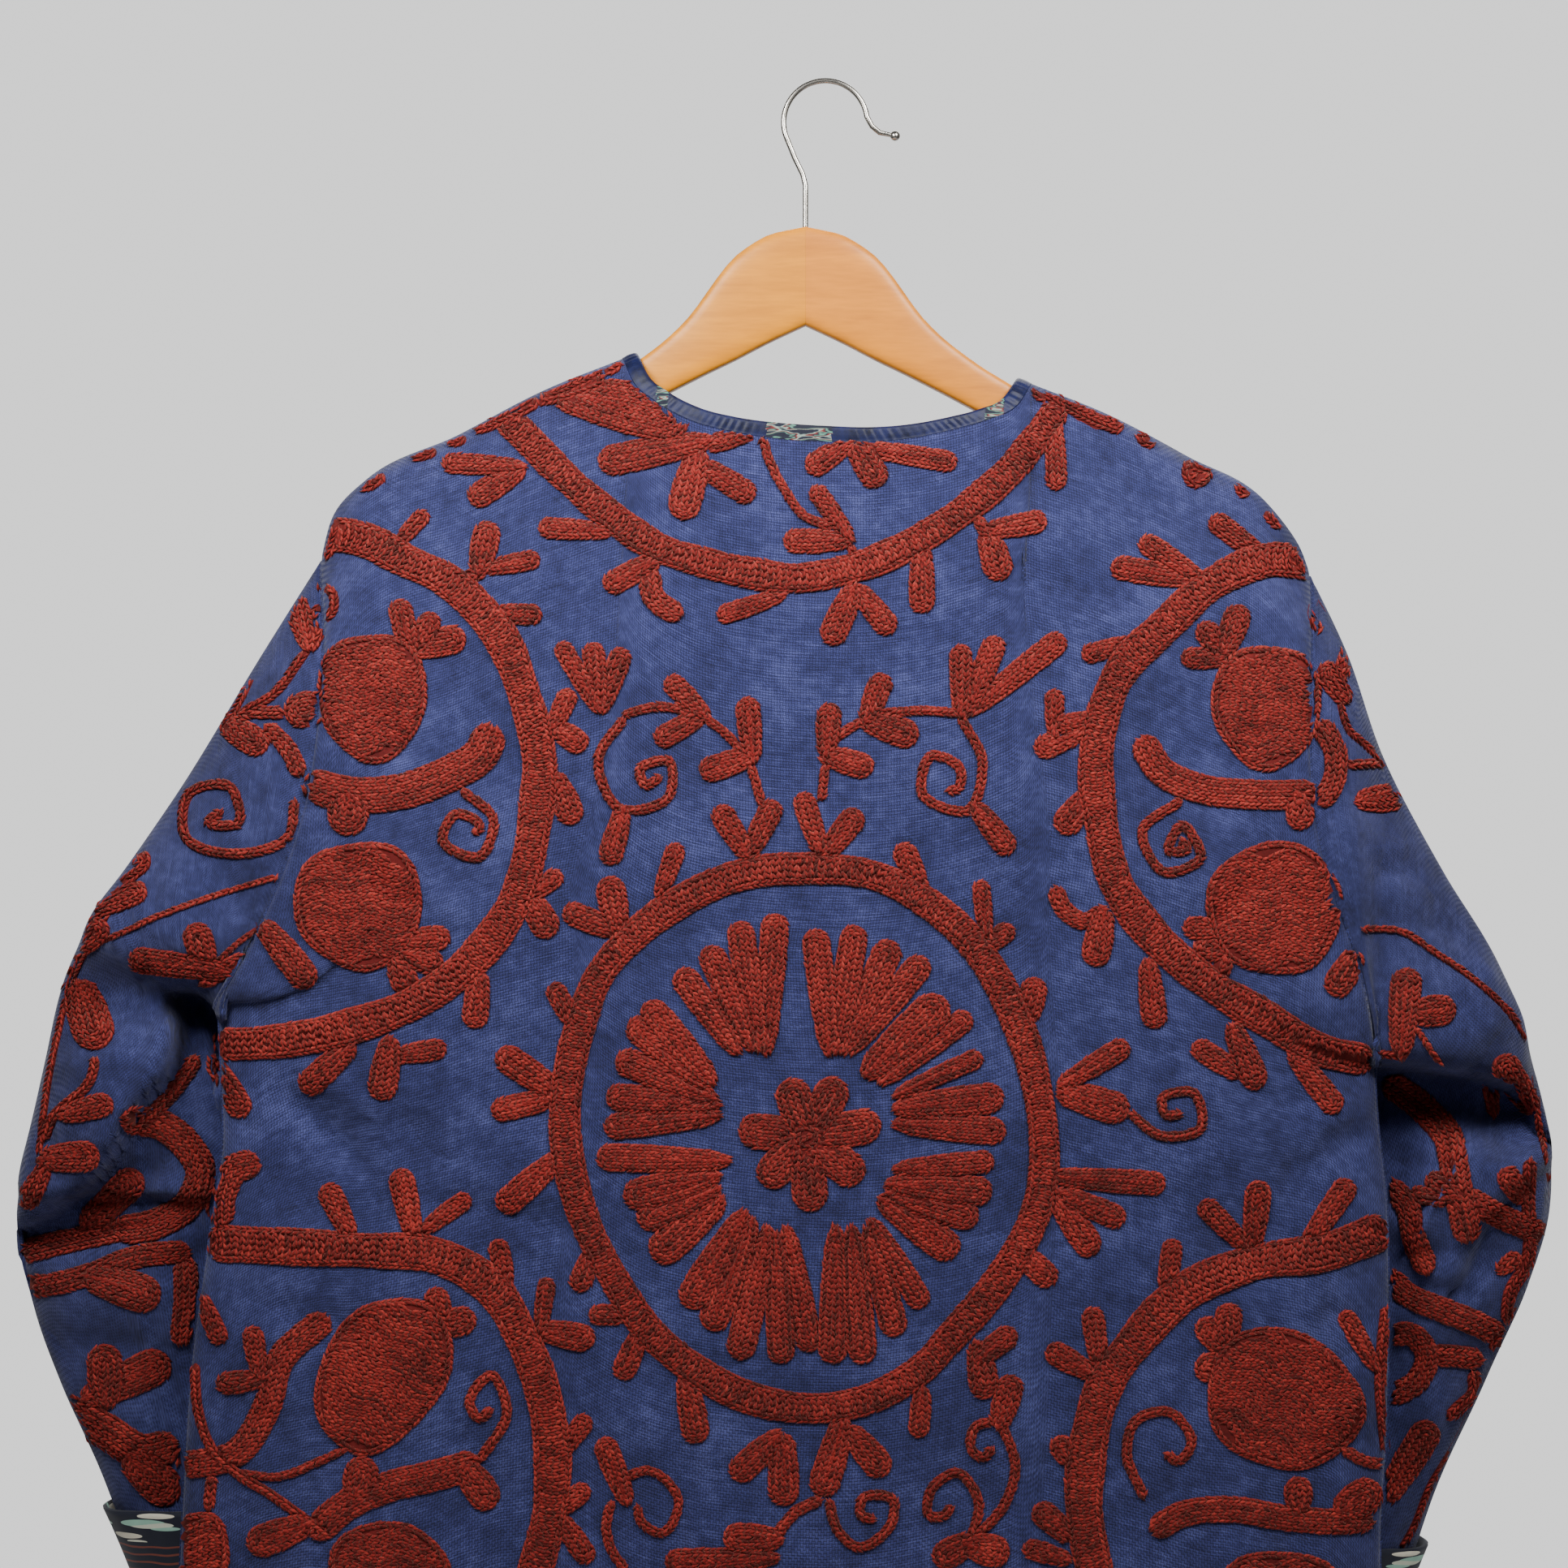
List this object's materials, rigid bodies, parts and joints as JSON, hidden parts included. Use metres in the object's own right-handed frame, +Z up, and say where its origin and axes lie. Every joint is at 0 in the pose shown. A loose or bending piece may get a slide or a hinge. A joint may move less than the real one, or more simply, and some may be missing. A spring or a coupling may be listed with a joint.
{
  "type": "embroidered kimono jacket on a wooden hanger",
  "caption": "Collarless open jacket of blue canvas covered in thick red chain-stitch embroidery, with set-in sleeves and turned-back printed cuffs, hung on a contoured wooden hanger.",
  "frame": {"origin": "inside top of the hanger's wire hook, where a rail or peg holds it", "axes": "+Z up, +Y towards the jacket's front, +X towards the wearer's right sleeve"},
  "size_m": [0.8224, 0.144, 0.953],
  "materials": {
    "embroidered_canvas": "matte woven cotton with raised red wool chain stitch",
    "printed_lining": "matte printed cotton",
    "satin_binding": "soft satin",
    "maple": "satin varnish",
    "nickel_wire": "polished"
  },
  "bodies": {
    "root": {"back": "embroidered_canvas", "front_left": "embroidered_canvas", "front_right": "embroidered_canvas", "sleeve_left": "embroidered_canvas", "sleeve_right": "embroidered_canvas", "cuff_left": "printed_lining", "cuff_right": "printed_lining", "binding_neck": "satin_binding", "binding_left": "satin_binding", "binding_right": "satin_binding", "hanger_left": "maple", "hanger_right": "maple", "hook": "nickel_wire"}
  },
  "joints": []
}
